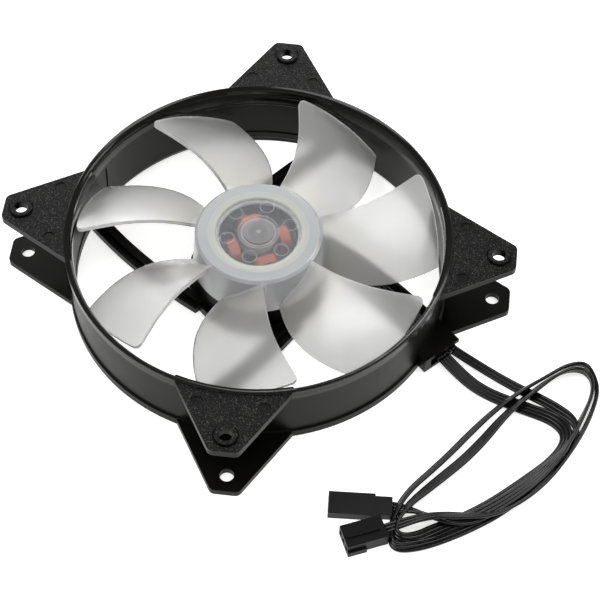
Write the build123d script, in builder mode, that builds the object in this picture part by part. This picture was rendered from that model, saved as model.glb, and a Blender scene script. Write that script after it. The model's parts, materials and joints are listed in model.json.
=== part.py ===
from build123d import *
from math import cos, hypot, pi, radians, sin, sqrt, tan
import os

os.makedirs("parts", exist_ok=True)

# A 120 mm case fan lying on its back: Z is the shaft's axis, the air goes down, z = 0 is the back face.
# All lengths are in millimetres and all angles in degrees.

# ---- driving dimensions ----
fan_size = 120.0  # across the square that the ears fill
fan_depth = 25.0  # back face to front face
hole_spacing = 0.875 * fan_size  # between the mounting holes of one side: 105 mm
hole_d = 4.3  # mounting hole
throat_r = fan_size / 2 - 2.6  # inside of the hoop
hoop_wall = 1.7
lip_height = 3.0  # tall edge bands of the hoop, front and back
mouth_height = 5.0  # the rounded inlet
ear_front_t = 2.4
ear_back_t = 2.2
ear_drop = 0.7  # the front ears lie this far under the front face
strut_w = 5.6
strut_t = 2.4
strut_rib_h = 1.4
channel_w = 10.0  # the strut that carries the wires
channel_wall = 1.0
channel_h = 4.4
tip_gap = 1.2  # blade tip to hoop
blade_count = 7
blade_t = 1.2
blade_corner_r = 1.8  # at the two corners of the tip
hub_r = 19.7  # hub at its face
hub_skirt_r = hub_r + 0.9  # hub at its open end
hub_wall = 1.4
hub_face_z = fan_depth - 0.4
hub_face_t = 1.2
hub_bottom_z = 10.7
base_gap = 0.8  # hub to motor base
base_r = hub_r + 0.6
base_wall = 1.4
base_flange_r = base_r + 2.1  # the struts meet a low flange round the motor base
base_flange_h = 3.2
base_floor = 1.8
label_recess = 0.3
shaft_r = 1.5
shaft_play = 0.03  # running clearance, radial
sleeve_r = 3.0
tube_wall = 1.25
tube_top_z = hub_face_z - 7.0
yoke_r = hub_r - 4.7
yoke_t = 0.8
yoke_top_z = hub_face_z - hub_face_t - 0.6
yoke_bottom_z = hub_bottom_z + 1.9
yoke_window_r = yoke_r - 2.65
magnet_t = 1.8
air_gap = 0.5
core_h = 4.0
core_mid_z = hub_face_z - 8.4
pole_count = 4
pole_arm_w = 3.0
insulator_t = 0.9
coil_inner_r = 6.6
coil_build = 2.3  # thickness of the winding beside its arm
coil_cap = 1.4  # and over and under it
board_z = 3.0
lead_start_x = 10.5  # where the wires meet the board
board_t = 1.2
led_count = 4
led_r = 1.5
led_h = 6.2
fan_wires = 3
light_wires = 4
cord_d = 2.4  # the plain round tube that stands for a ribbon
exit_x = fan_size / 2  # where the ribbons leave the clip
fit_gap = 0.05  # between pieces that only lie next to each other

# ---- sizes worked out from them ----
outer_r = fan_size / 2
wall_r = throat_r + hoop_wall
ear_top_z = fan_depth - ear_drop
tip_r = throat_r - tip_gap
base_top_z = hub_bottom_z - base_gap
tube_r = sleeve_r + tube_wall
magnet_r = yoke_r - yoke_t
magnet_inner_r = magnet_r - magnet_t
core_r = magnet_inner_r - air_gap
core_bottom_z = core_mid_z - core_h / 2
core_top_z = core_mid_z + core_h / 2
board_top_z = board_z + board_t
pole_pitch = 360 / pole_count
coil_angle = 70.0  # first pole arm


def save(part, name):
    """Name a finished piece, print what it measures and write its file."""
    part.label = name
    export_step(part, f"parts/{name}.step")
    print(f"{name}: {part.volume:.1f} mm3")


def cubic(t, a, b, c, d):
    """Point at t of a cubic curve with the four control values a, b, c, d."""
    s = 1 - t
    return a * s**3 + 3 * b * s**2 * t + 3 * c * s * t**2 + d * t**3


# ---- frame ----
# The corner ears: a chamfered corner inside the fan's square, with sides that run in to the hoop.
corner_cut = 6.6
ear_side = 0.6  # the ear's sides stand this far inside the square
ear_root = fan_size * 0.225  # where a side reaches the hoop, along the other axis
boss_r = 3.4
boss_groove = 0.5
pin_mark_r = 1.9
pin_mark_at = (38.0, 52.0)
ear_turns = (0, 90, 180, 270)


def ear_outline():
    """Sketch of one ear in the +X +Y corner; the hoop covers its inner end."""
    far = outer_r - ear_side
    near = outer_r - corner_cut
    root = sqrt(wall_r**2 - ear_root**2)
    with BuildSketch() as outline:
        with BuildLine():
            Polyline(
                (ear_root, root),
                (near, far),
                (far, near),
                (root, ear_root),
                (ear_root * 0.9, ear_root * 0.9),
                close=True,
            )
        make_face()
        corners = outline.vertices().sort_by(lambda v: v.X + v.Y)[-2:]
        fillet(corners, 2.2)
        Circle(throat_r + 0.4, mode=Mode.SUBTRACT)
    return outline.sketch


def hoop_profile():
    """Half section of the hoop in the XZ plane: inlet curve, throat, back chamfer, two edge bands."""
    with BuildSketch(Plane.XZ) as section:
        with BuildLine():
            mouth_r = outer_r - 0.5
            back_r = throat_r + 1.1
            Line((back_r, 0), (throat_r, 2.2))
            Line((throat_r, 2.2), (throat_r, fan_depth - mouth_height))
            Spline(
                (throat_r, fan_depth - mouth_height),
                (mouth_r, fan_depth),
                tangents=((0, 1), (1, 0.35)),
            )
            Polyline(
                (mouth_r, fan_depth),
                (outer_r, fan_depth - 0.4),
                (outer_r, fan_depth - lip_height),
                (wall_r, fan_depth - lip_height - 0.6),
                (wall_r, lip_height + 0.3),
                (outer_r - 0.3, lip_height - 0.3),
                (outer_r - 0.3, 0),
                (back_r, 0),
            )
        make_face()
    return section.sketch


panel_depth = 0.3
panel_span = 50.0
panel_z = (4.5, 18.5)


def panel_profile(turn):
    """Section of the sunk panel of one corner, with bevelled top and bottom, where the panel starts."""
    start = radians(turn + 45 - panel_span / 2)
    radial = Plane(origin=(0, 0, 0), x_dir=(cos(start), sin(start), 0), z_dir=(sin(start), -cos(start), 0))
    with BuildSketch(radial) as section:
        with BuildLine():
            Polyline(
                (throat_r - 0.5, panel_z[0]),
                (throat_r, panel_z[0]),
                (throat_r + panel_depth, panel_z[0] + 2 * panel_depth),
                (throat_r + panel_depth, panel_z[1] - 2 * panel_depth),
                (throat_r, panel_z[1]),
                (throat_r - 0.5, panel_z[1]),
                close=True,
            )
        make_face()
    return section.sketch


# Four tangential struts, gently bowed, from the motor base to the hoop.
channel_mouth = 1.7  # how far the wire channel cuts into the motor base
strut_hub = (-1.5, -(base_r - base_wall + channel_w / 2 - channel_wall - channel_mouth))
strut_mid = (-28.0, -26.6)
strut_end = (-sqrt(wall_r**2 - 27.8**2), -27.8)


def strut_y(x):
    """Height of a strut's centre line at x: the parabola through its three points."""
    (x0, y0), (x1, y1), (x2, y2) = strut_hub, strut_mid, strut_end
    near = y0 * (x - x1) * (x - x2) / ((x0 - x1) * (x0 - x2))
    middle = y1 * (x - x0) * (x - x2) / ((x1 - x0) * (x1 - x2))
    far = y2 * (x - x0) * (x - x1) / ((x2 - x0) * (x2 - x1))
    return near + middle + far


lead_start = (lead_start_x, -strut_y(-lead_start_x))  # between the two sets of wires


def strut_sketch(width, z):
    """The strut's band: its bowed centre line widened to both sides, at height z."""
    half = width / 2
    with BuildSketch(Plane.XY.offset(z)) as band:
        with BuildLine():
            upper = ThreePointArc(*[(x, y + half) for x, y in (strut_end, strut_mid, strut_hub)])
            lower = ThreePointArc(*[(x, y - half) for x, y in (strut_end, strut_mid, strut_hub)])
            Line(upper @ 0, lower @ 0)
            Line(upper @ 1, lower @ 1)
        make_face()
    return band.sketch


clip_y = (18.4, 32.0)  # the clip outside the hoop, where the wires come out
clip_floor = 1.2
clip_roof_z = 4.7
clip_roof_t = 1.3
passage_y = (20.8, 32.0)
passage_x = wall_r - 11.1  # the gate through the hoop starts here

with BuildPart() as frame:
    revolve(hoop_profile(), axis=Axis.Z)
    for turn in ear_turns:
        with BuildSketch(Plane.XY.rotated((0, 0, turn)).offset(ear_top_z - ear_front_t)):
            add(ear_outline())
        extrude(amount=ear_front_t)
        with BuildSketch(Plane.XY.rotated((0, 0, turn))):
            add(ear_outline())
        extrude(amount=ear_back_t)
    # shallow panels are sunk in the hoop's inside behind the ears
    for turn in ear_turns:
        revolve(panel_profile(turn), axis=Axis.Z, revolution_arc=panel_span, mode=Mode.SUBTRACT)
    # a raised ring stands in its groove round each front hole
    with BuildSketch(Plane.XY.offset(ear_top_z)):
        with GridLocations(hole_spacing, hole_spacing, 2, 2):
            Circle(boss_r + boss_groove)
            Circle(boss_r, mode=Mode.SUBTRACT)
    extrude(amount=-0.4, mode=Mode.SUBTRACT)
    with BuildSketch(Plane.XY.offset(ear_top_z)):
        with GridLocations(hole_spacing, hole_spacing, 2, 2):
            Circle(boss_r)
    extrude(amount=ear_drop)
    with Locations((0, 0, fan_depth)):
        with GridLocations(hole_spacing, hole_spacing, 2, 2):
            Hole(hole_d / 2, depth=fan_depth + 1)
    # shallow round marks beside each front hole
    with BuildSketch(Plane.XY.offset(ear_top_z)):
        for turn in ear_turns:
            for mark_x, mark_y in (pin_mark_at, pin_mark_at[::-1]):
                with Locations(Vector(mark_x, mark_y).rotate(Axis.Z, turn)):
                    Circle(pin_mark_r)
    extrude(amount=-0.25, mode=Mode.SUBTRACT)
    # struts, each a flat band with a thin rib along it; the one towards +X +Y is the wire channel
    for turn in (0, 90, 270):
        for width, height in ((strut_w, strut_t), (1.2, strut_t + strut_rib_h)):
            with BuildSketch(Plane.XY.rotated((0, 0, turn))):
                add(strut_sketch(width, 0))
            extrude(amount=height)
    with BuildSketch(Plane.XY.rotated((0, 0, 180))):
        add(strut_sketch(channel_w, 0))
    extrude(amount=channel_h)
    # motor base: a shallow cup with the bearing tube standing in its middle
    with BuildSketch():
        Circle(base_r)
    extrude(amount=base_top_z)
    with BuildSketch():
        Circle(base_flange_r)
    extrude(amount=base_flange_h)
    with BuildSketch(Plane.XY.offset(base_floor)):
        Circle(base_r - base_wall)
    extrude(amount=base_top_z, mode=Mode.SUBTRACT)
    with BuildSketch():
        Circle(tube_r)
    extrude(amount=tube_top_z)
    with BuildSketch(Plane.XY.offset(base_floor)):
        Circle(sleeve_r)
    extrude(amount=tube_top_z, mode=Mode.SUBTRACT)
    # three ledges carry the circuit board
    with BuildSketch(Plane.XY.offset(base_floor)):
        with PolarLocations(base_r - base_wall - 0.8, 3, start_angle=100):
            Rectangle(2.6, 3.0)
    extrude(amount=board_z - base_floor)
    # the channel is open on top, from inside the cup to outside the hoop
    with BuildSketch(Plane.XY.rotated((0, 0, 180)).offset(clip_floor)):
        add(strut_sketch(channel_w - 2 * channel_wall, 0))
    extrude(amount=channel_h, mode=Mode.SUBTRACT)
    # the clip: floor, hooked end and roof outside the hoop, over a gate through the hoop's wall
    clip_x = (sqrt(throat_r**2 - passage_y[1] ** 2) + 1, exit_x - 0.3)
    with BuildSketch():
        with Locations((sum(clip_x) / 2, sum(clip_y) / 2)):
            Rectangle(clip_x[1] - clip_x[0], clip_y[1] - clip_y[0])
        Circle(throat_r + 0.5, mode=Mode.SUBTRACT)
    extrude(amount=clip_roof_z + clip_roof_t)
    with BuildSketch(Plane.XY.offset(clip_floor)):
        with Locations(((passage_x + exit_x) / 2, sum(passage_y) / 2)):
            Rectangle(exit_x - passage_x, passage_y[1] - passage_y[0])
    extrude(amount=clip_roof_z - clip_floor, mode=Mode.SUBTRACT)
    # recess for the label under the base
    with BuildSketch():
        Circle(base_r - base_wall)
    extrude(amount=label_recess, mode=Mode.SUBTRACT)
save(frame.part, "frame")

# ---- rotor ----
# Blade angles are measured from each blade's own place, positive towards the leading edge.
lead_angles = (-6.7, -10.3, -2.8, 0.3)  # control angles of the leading edge, hub to tip
trail_angles = (-43.5, -51.5, -37.8, -28.9)
lead_z = fan_depth - 1.0
trail_drop = (11.4, 12.9)  # leading edge down to trailing edge, at hub and tip
camber = 0.3
root_r = hub_r - hub_wall / 2


def blade_point(out, back):
    """Point of the blade's middle surface: out from hub (0) to tip (1), back from leading edge to trailing."""
    r = root_r + (tip_r - root_r) * out
    lead = cubic(out, *lead_angles)
    angle = radians(lead + (cubic(out, *trail_angles) - lead) * back)
    drop = trail_drop[0] + (trail_drop[1] - trail_drop[0]) * out
    z = lead_z - drop * (back - camber * back * (1 - back))
    return (r * cos(angle), r * sin(angle), z)


steps = 8
blade_face = Face.make_surface_from_array_of_points(
    [[blade_point(i / steps, j / steps) for i in range(steps + 1)] for j in range(steps + 1)]
)
with BuildPart() as blade:
    thicken(blade_face, amount=blade_t / 2, both=True)
    tip_corners = blade.edges().filter_by(lambda e: e.length < 2 * blade_t)
    fillet(tip_corners.sort_by(lambda e: hypot(e.center().X, e.center().Y))[-2:], blade_corner_r)

boss_outer_r = 4.8
bush_r = 2.9
bush_h = 4.2
bush_bottom_z = hub_face_z - hub_face_t - bush_h
grip_h = 2.2  # the ring under the hub's face that holds the steel cup
dish_r = 6.4
dish_depth = 0.4
ejector_r = 2.0  # round ejector marks under the hub's face
ejector_at = yoke_r * 2 / 3
ejector_count = 6
ejector_turn = 6.5

with BuildPart() as impeller:
    with BuildSketch(Plane.XZ):
        with BuildLine():
            Polyline(
                (0, hub_face_z),
                (hub_r - 1, hub_face_z),
                (hub_r, hub_face_z - 1),
                (hub_skirt_r, hub_bottom_z),
                (hub_skirt_r - hub_wall, hub_bottom_z),
                (hub_r - hub_wall, hub_face_z - hub_face_t),
                (0, hub_face_z - hub_face_t),
                close=True,
            )
        make_face()
    revolve(axis=Axis.Z)
    with BuildSketch(Plane.XY.offset(hub_face_z - hub_face_t)):
        Circle(yoke_r + 1.0)
        Circle(yoke_r, mode=Mode.SUBTRACT)
    extrude(amount=-grip_h)
    with BuildSketch(Plane.XY.offset(hub_face_z - hub_face_t)):
        Circle(boss_outer_r)
    extrude(amount=-bush_h)
    with PolarLocations(0, blade_count, start_angle=180):
        add(blade.part)
    with BuildSketch(Plane.XY.offset(bush_bottom_z)):
        Circle(bush_r)
    extrude(amount=bush_h, mode=Mode.SUBTRACT)
    # a shallow dish with a centre ring in the hub's face
    with BuildSketch(Plane.XY.offset(hub_face_z)):
        Circle(dish_r)
        Circle(boss_outer_r, mode=Mode.SUBTRACT)
    extrude(amount=-dish_depth, mode=Mode.SUBTRACT)
    with BuildSketch(Plane.XY.offset(hub_face_z - hub_face_t)):
        with PolarLocations(ejector_at, ejector_count, start_angle=ejector_turn):
            Circle(ejector_r)
    extrude(amount=0.25, mode=Mode.SUBTRACT)
save(impeller.part, "impeller")

with BuildPart() as rotor_yoke:
    with BuildSketch(Plane.XZ):
        with BuildLine():
            Polyline(
                (yoke_window_r, yoke_top_z),
                (yoke_r, yoke_top_z),
                (yoke_r, yoke_bottom_z),
                (yoke_r - yoke_t, yoke_bottom_z),
                (yoke_r - yoke_t, yoke_top_z - yoke_t),
                (yoke_window_r, yoke_top_z - yoke_t),
                close=True,
            )
        make_face()
    revolve(axis=Axis.Z)
save(rotor_yoke.part, "rotor_yoke")

magnet_z = (yoke_bottom_z + 0.3, yoke_top_z - yoke_t)
with BuildPart() as rotor_magnet:
    with BuildSketch(Plane.XY.offset(magnet_z[0])):
        Circle(magnet_r)
        Circle(magnet_inner_r, mode=Mode.SUBTRACT)
    extrude(amount=magnet_z[1] - magnet_z[0])
save(rotor_magnet.part, "rotor_magnet")

# The shaft stands on the thrust pad, runs in the sleeve and is held in the hub's brass bush.
pad_t = 0.6
pad_top_z = base_floor + pad_t
washer_z = pad_top_z + 0.35
washer_t = 0.4
groove_depth = 0.3
shaft_bottom_z = pad_top_z + fit_gap
shaft_top_z = hub_face_z - hub_face_t
with BuildPart() as rotor_shaft:
    with BuildSketch(Plane.XY.offset(shaft_bottom_z)):
        Circle(shaft_r)
    extrude(amount=shaft_top_z - shaft_bottom_z)
    chamfer(rotor_shaft.faces().sort_by(Axis.Z)[-1].edges(), 0.3)
    with BuildSketch(Plane.XY.offset(washer_z)):
        Circle(shaft_r)
        Circle(shaft_r - groove_depth, mode=Mode.SUBTRACT)
    extrude(amount=washer_t, mode=Mode.SUBTRACT)
save(rotor_shaft.part, "rotor_shaft")

with BuildPart() as shaft_boss:
    with BuildSketch(Plane.XY.offset(bush_bottom_z)):
        Circle(bush_r)
        Circle(shaft_r, mode=Mode.SUBTRACT)
    extrude(amount=bush_h)
save(shaft_boss.part, "shaft_boss")

with BuildPart() as retaining_washer:
    with BuildSketch(Plane.XY.offset(washer_z)):
        Circle(sleeve_r - 0.3)
        Circle(shaft_r - groove_depth, mode=Mode.SUBTRACT)
    extrude(amount=washer_t)
save(retaining_washer.part, "retaining_washer")

# ---- bearing ----
sleeve_z = (washer_z + washer_t + 0.3, tube_top_z - 1.2)
with BuildPart() as thrust_pad:
    with BuildSketch(Plane.XY.offset(base_floor)):
        Circle(sleeve_r)
    extrude(amount=pad_t)
save(thrust_pad.part, "thrust_pad")

with BuildPart() as bearing_sleeve:
    with BuildSketch(Plane.XY.offset(sleeve_z[0])):
        Circle(sleeve_r)
    extrude(amount=sleeve_z[1] - sleeve_z[0])
    with BuildSketch(Plane.XY.offset(sleeve_z[0])):
        Circle(shaft_r + shaft_play)
    extrude(amount=sleeve_z[1] - sleeve_z[0], mode=Mode.SUBTRACT)
save(bearing_sleeve.part, "bearing_sleeve")

with BuildPart() as oil_ring:
    with BuildSketch(Plane.XY.offset(sleeve_z[1])):
        Circle(sleeve_r)
        Circle(shaft_r + 0.3, mode=Mode.SUBTRACT)
    extrude(amount=tube_top_z - sleeve_z[1] - 0.2)
save(oil_ring.part, "oil_ring")

# ---- stator ----
shoe_t = 1.3
shoe_span = 66.0
ring_wall = 1.6


def stator_sketch(z, reach):
    """Star of pole arms with curved shoes at height z; reach is its outer radius."""
    with BuildSketch(Plane.XY.offset(z)) as star:
        Circle(tube_r + ring_wall)
        with PolarLocations(reach / 2, pole_count, start_angle=coil_angle):
            Rectangle(reach, pole_arm_w)
        with BuildSketch(Plane.XY.offset(z), mode=Mode.PRIVATE) as shoes:
            Circle(reach)
            Circle(core_r - shoe_t, mode=Mode.SUBTRACT)
            with PolarLocations(reach, pole_count, start_angle=coil_angle + pole_pitch / 2):
                Rectangle(reach, 2 * reach * sin(radians((pole_pitch - shoe_span) / 2)), mode=Mode.SUBTRACT)
        add(shoes.sketch)
        Circle(reach, mode=Mode.INTERSECT)
        Circle(tube_r, mode=Mode.SUBTRACT)
    return star.sketch


with BuildPart() as stator_core:
    add(extrude(stator_sketch(core_bottom_z, core_r), amount=core_h))
save(stator_core.part, "stator_core")

with BuildPart() as stator_insulator_top:
    add(extrude(stator_sketch(core_top_z, core_r - 0.3), amount=insulator_t))
save(stator_insulator_top.part, "stator_insulator_top")

with BuildPart() as stator_insulator_bottom:
    add(extrude(stator_sketch(core_bottom_z - insulator_t, core_r - 0.3), amount=insulator_t))
save(stator_insulator_bottom.part, "stator_insulator_bottom")

coil_hole = (pole_arm_w + 2 * fit_gap, core_h + 2 * insulator_t + 2 * fit_gap)
coil_out = (coil_hole[0] + 2 * coil_build, coil_hole[1] + 2 * coil_cap)
coil_outer_r = sqrt((core_r - shoe_t) ** 2 - (coil_out[0] / 2) ** 2) - fit_gap  # clear of the shoes' corners
for number in range(pole_count):
    arm = coil_angle + number * pole_pitch
    start = Plane(origin=(coil_inner_r, 0, core_mid_z), x_dir=(0, 1, 0), z_dir=(1, 0, 0))
    with BuildPart() as coil:
        with BuildSketch(start):
            RectangleRounded(coil_out[0], coil_out[1], 1.2)
            Rectangle(coil_hole[0], coil_hole[1], mode=Mode.SUBTRACT)
        extrude(amount=coil_outer_r - coil_inner_r)
    save(coil.part.rotate(Axis.Z, arm), f"coil_{number + 1}")

# ---- circuit board, its chips and the lights ----
board_r = base_r - base_wall - 0.4
led_at = board_r - led_r - 0.4
with BuildPart() as circuit_board:
    with BuildSketch(Plane.XY.offset(board_z)):
        Circle(board_r)
        Circle(tube_r + 0.3, mode=Mode.SUBTRACT)
    extrude(amount=board_t)
    # a tab reaches out into the wire channel, where the wires are soldered to it
    with BuildSketch(Plane.XY.rotated((0, 0, 180)).offset(board_z)):
        add(strut_sketch(channel_w - 2 * channel_wall - 0.6, 0))
        with Locations((-lead_start[0] / 2 - 1, -lead_start[1])):
            Rectangle(lead_start[0] - 2, channel_w * 2, mode=Mode.INTERSECT)
    extrude(amount=board_t)
save(circuit_board.part, "circuit_board")

chip_at = (-11.5, -2.0)
chip_w = 4.0
chip_l = 5.0
with BuildPart() as driver_chip:
    with BuildSketch(Plane.XY.offset(board_top_z)):
        with Locations(chip_at):
            Rectangle(chip_w, chip_l)
            for leg_y in (-1.9, -0.65, 0.65, 1.9):
                with Locations((0, leg_y)):
                    Rectangle(chip_w + 2.0, 0.45)
    extrude(amount=0.3)
    with BuildSketch(Plane.XY.offset(board_top_z)):
        with Locations(chip_at):
            Rectangle(chip_w, chip_l)
    extrude(amount=1.5)
save(driver_chip.part, "driver_chip")

with BuildPart() as board_parts:
    for part_x, part_y, part_w, part_l, part_h in (
        (10.5, -7.5, 3.4, 2.2, 1.4),
        (12.5, 2.5, 1.6, 3.0, 0.8),
        (8.6, 3.8, 1.6, 0.9, 0.5),
        (-7.5, 9.5, 2.0, 1.2, 0.6),
        (3.5, -12.5, 3.0, 1.6, 1.1),
        (-3.5, -9.8, 1.6, 0.9, 0.5),
    ):
        with BuildSketch(Plane.XY.offset(board_top_z)):
            with Locations((part_x, part_y)):
                Rectangle(part_w, part_l)
        extrude(amount=part_h)
save(board_parts.part, "board_parts")

for number in range(led_count):
    turn = radians(45 + number * 360 / led_count)
    with BuildPart() as led:
        with BuildSketch(Plane.XY.offset(board_top_z)):
            Circle(led_r + 0.25)
        extrude(amount=0.8)
        with BuildSketch(Plane.XY.offset(board_top_z)):
            Circle(led_r)
        extrude(amount=led_h - 1.2)
        fillet(led.faces().sort_by(Axis.Z)[-1].edges(), 0.9)
    save(led.part.translate((led_at * cos(turn), led_at * sin(turn), 0)), f"led_{number + 1}")

with BuildPart() as stator_pins:
    with BuildSketch(Plane.XY.offset(board_top_z)):
        with PolarLocations(tube_r + 1.0, 3, start_angle=coil_angle + 30):
            Circle(0.35)
    extrude(amount=core_bottom_z - insulator_t - board_top_z)
save(stator_pins.part, "stator_pins")

with BuildPart() as rear_label:
    with BuildSketch(Plane.XY.offset(fit_gap)):
        Circle(base_r - base_wall - 0.3)
    extrude(amount=label_recess - fit_gap)
save(rear_label.part, "rear_label")


# ---- wires inside the frame ----
# Each set of wires runs in the channel from the circuit board to the clip.
lead_z_mid = clip_floor + cord_d / 2 + 0.15
lead_offset = channel_w / 4 - channel_wall / 2
lead_offsets = {"fan_leads": lead_offset, "light_leads": -lead_offset}
exit_places = {}
for name, offset in lead_offsets.items():
    with BuildPart() as lead:
        with BuildLine() as way:
            ThreePointArc(
                (exit_x, -strut_end[1] + offset, lead_z_mid),
                (-strut_mid[0], -strut_mid[1] + offset, lead_z_mid),
                (lead_start[0], lead_start[1] + offset, lead_z_mid),
            )
        with BuildSketch(Plane(origin=way.line @ 0, z_dir=way.line % 0)):
            Circle(cord_d / 2)
        sweep()
    exit_places[name] = way.line @ 0
    save(lead.part, name)
print("exits", exit_places)

# ---- connectors ----
# Each housing is made along its own +X with the wires entering at the origin, then turned into place.
plug_back_wall = 2.0
fan_plug_place = Location((exit_x + 35.1, -27.5, 0), (0, 0, -110.7))
fan_plug_l = 12.5
fan_plug_w = 7.5
fan_plug_h = 4.6
fan_pitch = 2.54
rail_l = 5.8
ridge_w = 1.2
ridge_h = 0.5
pin_hole = (1.7, 2.0)
contact_wall = 0.25
light_plug_place = Location((exit_x + 30.8, -20.8, 0), (0, 0, -131.8))
light_plug_l = 13.8
light_plug_w = 7.4
light_plug_h = 3.0
light_neck_l = 5.0
light_neck_w = 6.3
light_pitch = 1.5
light_pin_w = 0.7
socket_depth = 3.0  # open front end of the light connector


def contact_places(count, pitch, z):
    """Places of the contacts side by side in a housing, in the YZ plane."""
    return [((n - (count - 1) / 2) * pitch, z) for n in range(count)]


with BuildPart() as fan_plug:
    with BuildSketch():
        with Locations((fan_plug_l / 2, 0)):
            Rectangle(fan_plug_l, fan_plug_w)
    extrude(amount=fan_plug_h)
    # a rail on one side and a low ridge on top key the housing
    with BuildSketch():
        with Locations((fan_plug_l - rail_l / 2, fan_plug_w / 2 + 0.3)):
            Rectangle(rail_l, 0.8)
    extrude(amount=fan_plug_h * 0.45)
    with BuildSketch(Plane.XY.offset(fan_plug_h)):
        with Locations((fan_plug_l / 2 + 0.5, 0.4)):
            Rectangle(fan_plug_l - 2.4, ridge_w)
    extrude(amount=ridge_h)
    with BuildSketch(Plane.YZ.offset(plug_back_wall)):
        with Locations(*contact_places(fan_wires, fan_pitch, fan_plug_h / 2)):
            Rectangle(*pin_hole)
    extrude(amount=fan_plug_l, mode=Mode.SUBTRACT)
save(fan_plug.part.moved(fan_plug_place), "fan_connector")

with BuildPart() as fan_pins:
    with BuildSketch(Plane.YZ.offset(plug_back_wall)):
        with Locations(*contact_places(fan_wires, fan_pitch, fan_plug_h / 2)):
            Rectangle(*pin_hole)
            Rectangle(pin_hole[0] - 2 * contact_wall, pin_hole[1] - 2 * contact_wall, mode=Mode.SUBTRACT)
    extrude(amount=fan_plug_l - plug_back_wall - 1.2)
save(fan_pins.part.moved(fan_plug_place), "fan_contacts")

with BuildPart() as light_plug:
    with BuildSketch():
        with Locations((light_neck_l / 2 + 0.5, 0)):
            Rectangle(light_neck_l + 1, light_neck_w)
    extrude(amount=light_plug_h - 0.4)
    with BuildSketch():
        with Locations((light_neck_l + light_plug_l / 2, 0)):
            Rectangle(light_plug_l, light_plug_w)
    extrude(amount=light_plug_h)
    with BuildSketch(Plane.YZ.offset(light_neck_l + light_plug_l - socket_depth)):
        with Locations((0, light_plug_h / 2)):
            Rectangle(light_plug_w - 1.4, light_plug_h - 1.2)
    extrude(amount=socket_depth, mode=Mode.SUBTRACT)
    with BuildSketch(Plane.YZ.offset(light_neck_l)):
        with Locations(*contact_places(light_wires, light_pitch, light_plug_h / 2)):
            Rectangle(light_pin_w, light_pin_w)
    extrude(amount=light_plug_l, mode=Mode.SUBTRACT)
save(light_plug.part.moved(light_plug_place), "light_connector")

with BuildPart() as light_pins:
    with BuildSketch(Plane.YZ.offset(light_neck_l)):
        with Locations(*contact_places(light_wires, light_pitch, light_plug_h / 2)):
            Rectangle(light_pin_w, light_pin_w)
    extrude(amount=light_plug_l - 0.6)
save(light_pins.part.moved(light_plug_place), "light_contacts")

# ---- free ribbons ----
# Hand-chosen points of each route, from the clip to the connector, with X counted from the clip's end.
# The round tube stands for the flat ribbon.
floor_z = cord_d / 2 + 0.05
over_z = floor_z + cord_d + 0.55  # passing over one ribbon
high_z = over_z + cord_d + 0.3  # passing over two
fan_route = [
    (8.5, 31.8, floor_z + 0.3),
    (22.0, 36.2, floor_z),
    (36.5, 41.8, floor_z),
    (46.8, 36.4, floor_z),
    (50.8, 20.5, floor_z),
    (51.4, 2.0, floor_z),
    (49.0, -13.0, floor_z),
    (46.4, -22.6, floor_z),
    (43.4, -27.0, floor_z),
    (39.4, -26.4, floor_z),
    (36.2, -20.0, floor_z),
    (31.0, -7.0, floor_z),
    (27.8, 9.0, floor_z),
    (25.0, 24.0, floor_z + 0.5),
    (23.8, 31.4, over_z),
    (23.7, 41.6, over_z),
    (26.0, 53.5, over_z),
    (32.5, 59.6, over_z),
    (39.5, 53.4, over_z),
    (44.4, 44.0, over_z),
    (48.2, 30.0, over_z),
    (49.4, 13.0, over_z),
    (48.4, -2.0, over_z + 0.8),
    (43.6, -10.6, high_z),
    (39.0, -16.4, high_z),
    (36.9, -22.8, fan_plug_h / 2 + 1.7),
]
light_route = [
    (10.5, 25.4, floor_z + 0.2),
    (22.0, 30.4, floor_z),
    (33.0, 37.2, floor_z),
    (41.6, 36.4, floor_z),
    (46.4, 27.0, floor_z),
    (47.7, 11.0, floor_z),
    (46.4, -5.0, floor_z),
    (44.2, -14.4, floor_z),
    (42.2, -18.7, floor_z),
    (38.5, -17.9, floor_z),
    (36.4, -11.4, floor_z),
    (33.2, 2.0, floor_z),
    (30.2, 14.0, floor_z),
    (28.0, 24.0, floor_z + 0.5),
    (27.2, 31.0, over_z),
    (27.2, 41.0, over_z),
    (28.6, 49.0, floor_z + 0.4),
    (34.2, 55.4, floor_z),
    (42.6, 54.4, floor_z),
    (49.6, 42.5, floor_z),
    (53.8, 26.0, floor_z),
    (55.0, 8.0, floor_z + 0.3),
    (52.2, -4.6, over_z - 0.4),
    (45.6, -11.4, over_z),
    (39.2, -13.9, over_z),
    (34.3, -16.9, light_plug_h / 2 + 2.3),
]


def bend_radii(points):
    """Radius at each inner point: 0.45 of its shorter run over the tangent of half its turn."""
    radii = []
    for before, here, after in zip(points, points[1:], points[2:]):
        run_in = here - before
        run_out = after - here
        half_turn = radians(run_in.get_angle(run_out)) / 2
        radii.append(0.45 * min(run_in.length, run_out.length) / tan(half_turn))
    return radii


def free_cord(name, start, route, end):
    """Round tube along the route's straight runs, joined by tangent arcs."""
    points = [Vector(start)] + [Vector(exit_x + x, y, z) for x, y, z in route] + [Vector(end)]
    radii = bend_radii(points)
    with BuildPart() as cord:
        with BuildLine() as way:
            FilletPolyline(*points, radius=radii)
        with BuildSketch(Plane(origin=way.line @ 0, z_dir=way.line % 0)):
            Circle(cord_d / 2)
        sweep()
    save(cord.part, name)
    length = way.wire().length
    print(f"  length {length:.1f}, radii {[round(r, 1) for r in radii]}")
    print(f"  volume over section times length {cord.part.volume / (pi * cord_d**2 / 4 * length):.4f}")


free_cord("fan_cable", exit_places["fan_leads"], fan_route, fan_plug_place.position + Vector(0, 0, fan_plug_h / 2))
light_end = light_plug_place.position + Vector(0, 0, (light_plug_h - 0.4) / 2)
free_cord("light_cable", exit_places["light_leads"], light_route, light_end)
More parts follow.
